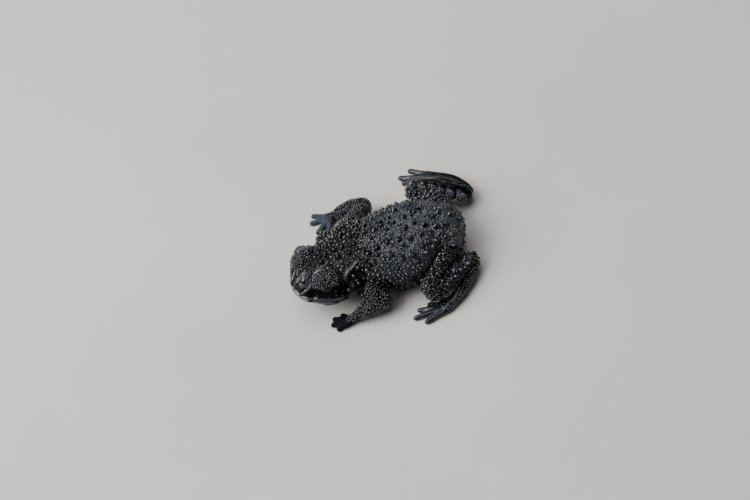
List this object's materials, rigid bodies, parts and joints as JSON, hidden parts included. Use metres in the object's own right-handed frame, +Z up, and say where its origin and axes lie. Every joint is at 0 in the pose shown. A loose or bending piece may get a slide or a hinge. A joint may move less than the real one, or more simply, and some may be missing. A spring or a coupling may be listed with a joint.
{
  "type": "venezuelan pebble toad",
  "caption": "Life-size still model of a small black pebble toad, crouched on all fours with its head turned to its left, warty all over.",
  "frame": {"origin": "middle of the toad's bounding box, on the floor it crouches on", "axes": "+Z up; -X the way the body faces, so the snout is at -X and the vent at +X; -Y the toad's own left side, to which its head is turned"},
  "size_m": [0.0278, 0.0254, 0.0081],
  "materials": {
    "skin": "wet, finely granular black skin",
    "eye": "polished black eyeball"
  },
  "bodies": {
    "root": {"torso": "skin", "head": "skin", "upper_arm_left": "skin", "upper_arm_right": "skin", "forearm_left": "skin", "forearm_right": "skin", "hand_left": "skin", "hand_right": "skin", "thigh_left": "skin", "thigh_right": "skin", "shank_left": "skin", "shank_right": "skin", "foot_left": "skin", "foot_right": "skin", "eye_left": "eye", "eye_right": "eye"}
  },
  "joints": []
}
